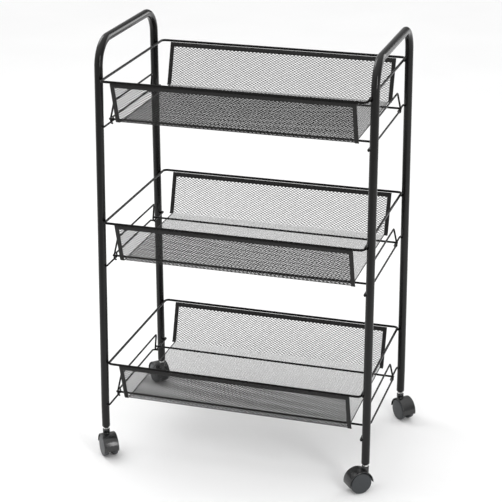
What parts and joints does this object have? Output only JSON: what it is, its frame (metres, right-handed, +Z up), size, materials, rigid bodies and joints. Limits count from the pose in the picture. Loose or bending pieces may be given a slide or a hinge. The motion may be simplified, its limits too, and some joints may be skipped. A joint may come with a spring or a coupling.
{
  "type": "rolling utility cart",
  "caption": "Three-tier rolling utility cart: bent-tube side frames with handles, wire-rimmed expanded-mesh baskets open at the ends, twin-wheel swivel casters.",
  "frame": {"origin": "on the floor, midway between the side frames and midway between the front and rear legs", "axes": "+X from the left side frame to the right one, +Y from front to rear, +Z up"},
  "size_m": [0.5309, 0.3537, 0.7389],
  "materials": {
    "powder_coat": "semi-gloss black powder coat on steel tube and wire",
    "mesh_coat": "satin black powder coat on expanded steel mesh",
    "hood_plastic": "glossy black moulded nylon",
    "socket_plastic": "satin black moulded plastic",
    "wheel_plastic": "satin dark grey moulded plastic",
    "pin_steel": "bright zinc-plated steel"
  },
  "bodies": {
    "cart": {"side_frame_left": "powder_coat", "side_frame_right": "powder_coat", "top_rim_wire": "powder_coat", "top_mesh_tray": "mesh_coat", "top_edge_band": "powder_coat", "top_side_rod_left": "powder_coat", "top_side_rod_right": "powder_coat", "top_hanger_left": "powder_coat", "top_hanger_right": "powder_coat", "top_cross_wire_front": "powder_coat", "top_cross_wire_rear": "powder_coat", "middle_rim_wire": "powder_coat", "middle_mesh_tray": "mesh_coat", "middle_edge_band": "powder_coat", "middle_side_rod_left": "powder_coat", "middle_side_rod_right": "powder_coat", "middle_hanger_left": "powder_coat", "middle_hanger_right": "powder_coat", "middle_cross_wire_front": "powder_coat", "middle_cross_wire_rear": "powder_coat", "bottom_rim_wire": "powder_coat", "bottom_mesh_tray": "mesh_coat", "bottom_edge_band": "powder_coat", "bottom_side_rod_left": "powder_coat", "bottom_side_rod_right": "powder_coat", "bottom_hanger_left": "powder_coat", "bottom_hanger_right": "powder_coat", "bottom_cross_wire_front": "powder_coat", "bottom_cross_wire_rear": "powder_coat", "front_left_caster_socket": "socket_plastic", "front_right_caster_socket": "socket_plastic", "rear_left_caster_socket": "socket_plastic", "rear_right_caster_socket": "socket_plastic"},
    "front_left_swivel": {"front_left_caster_hood": "hood_plastic", "front_left_caster_stem": "pin_steel", "front_left_caster_axle": "pin_steel"},
    "front_left_wheel_a_body": {"front_left_wheel_a": "wheel_plastic"},
    "front_left_wheel_b_body": {"front_left_wheel_b": "wheel_plastic"},
    "front_right_swivel": {"front_right_caster_hood": "hood_plastic", "front_right_caster_stem": "pin_steel", "front_right_caster_axle": "pin_steel"},
    "front_right_wheel_a_body": {"front_right_wheel_a": "wheel_plastic"},
    "front_right_wheel_b_body": {"front_right_wheel_b": "wheel_plastic"},
    "rear_left_swivel": {"rear_left_caster_hood": "hood_plastic", "rear_left_caster_stem": "pin_steel", "rear_left_caster_axle": "pin_steel"},
    "rear_left_wheel_a_body": {"rear_left_wheel_a": "wheel_plastic"},
    "rear_left_wheel_b_body": {"rear_left_wheel_b": "wheel_plastic"},
    "rear_right_swivel": {"rear_right_caster_hood": "hood_plastic", "rear_right_caster_stem": "pin_steel", "rear_right_caster_axle": "pin_steel"},
    "rear_right_wheel_a_body": {"rear_right_wheel_a": "wheel_plastic"},
    "rear_right_wheel_b_body": {"rear_right_wheel_b": "wheel_plastic"}
  },
  "joints": [
    {"name": "front_left_swivel_turn", "type": "hinge", "parent": "cart", "child": "front_left_swivel", "pos_m": [-0.2324, -0.1428, 0.0188], "axis": [0, 0, 1], "continuous": true},
    {"name": "front_left_wheel_a_roll", "type": "hinge", "parent": "front_left_swivel", "child": "front_left_wheel_a_body", "pos_m": [-0.22501, -0.15226, 0.0188], "axis": [0.788, 0.6157, 0], "continuous": true},
    {"name": "front_left_wheel_b_roll", "type": "hinge", "parent": "front_left_swivel", "child": "front_left_wheel_b_body", "pos_m": [-0.22501, -0.15226, 0.0188], "axis": [0.788, 0.6157, 0], "continuous": true},
    {"name": "front_right_swivel_turn", "type": "hinge", "parent": "cart", "child": "front_right_swivel", "pos_m": [0.2324, -0.1428, 0.0188], "axis": [0, 0, 1], "continuous": true},
    {"name": "front_right_wheel_a_roll", "type": "hinge", "parent": "front_right_swivel", "child": "front_right_wheel_a_body", "pos_m": [0.22307, -0.15035, 0.0188], "axis": [0.6293, -0.7771, 0], "continuous": true},
    {"name": "front_right_wheel_b_roll", "type": "hinge", "parent": "front_right_swivel", "child": "front_right_wheel_b_body", "pos_m": [0.22307, -0.15035, 0.0188], "axis": [0.6293, -0.7771, 0], "continuous": true},
    {"name": "rear_left_swivel_turn", "type": "hinge", "parent": "cart", "child": "rear_left_swivel", "pos_m": [-0.2324, 0.1428, 0.0188], "axis": [0, 0, 1], "continuous": true},
    {"name": "rear_left_wheel_a_roll", "type": "hinge", "parent": "rear_left_swivel", "child": "rear_left_wheel_a_body", "pos_m": [-0.24088, 0.15129, 0.0188], "axis": [-0.7071, -0.7071, 0], "continuous": true},
    {"name": "rear_left_wheel_b_roll", "type": "hinge", "parent": "rear_left_swivel", "child": "rear_left_wheel_b_body", "pos_m": [-0.24088, 0.15129, 0.0188], "axis": [-0.7071, -0.7071, 0], "continuous": true},
    {"name": "rear_right_swivel_turn", "type": "hinge", "parent": "cart", "child": "rear_right_swivel", "pos_m": [0.2324, 0.1428, 0.0188], "axis": [0, 0, 1], "continuous": true},
    {"name": "rear_right_wheel_a_roll", "type": "hinge", "parent": "rear_right_swivel", "child": "rear_right_wheel_a_body", "pos_m": [0.24058, 0.13402, 0.0188], "axis": [0.7314, 0.682, 0], "continuous": true},
    {"name": "rear_right_wheel_b_roll", "type": "hinge", "parent": "rear_right_swivel", "child": "rear_right_wheel_b_body", "pos_m": [0.24058, 0.13402, 0.0188], "axis": [0.7314, 0.682, 0], "continuous": true}
  ]
}
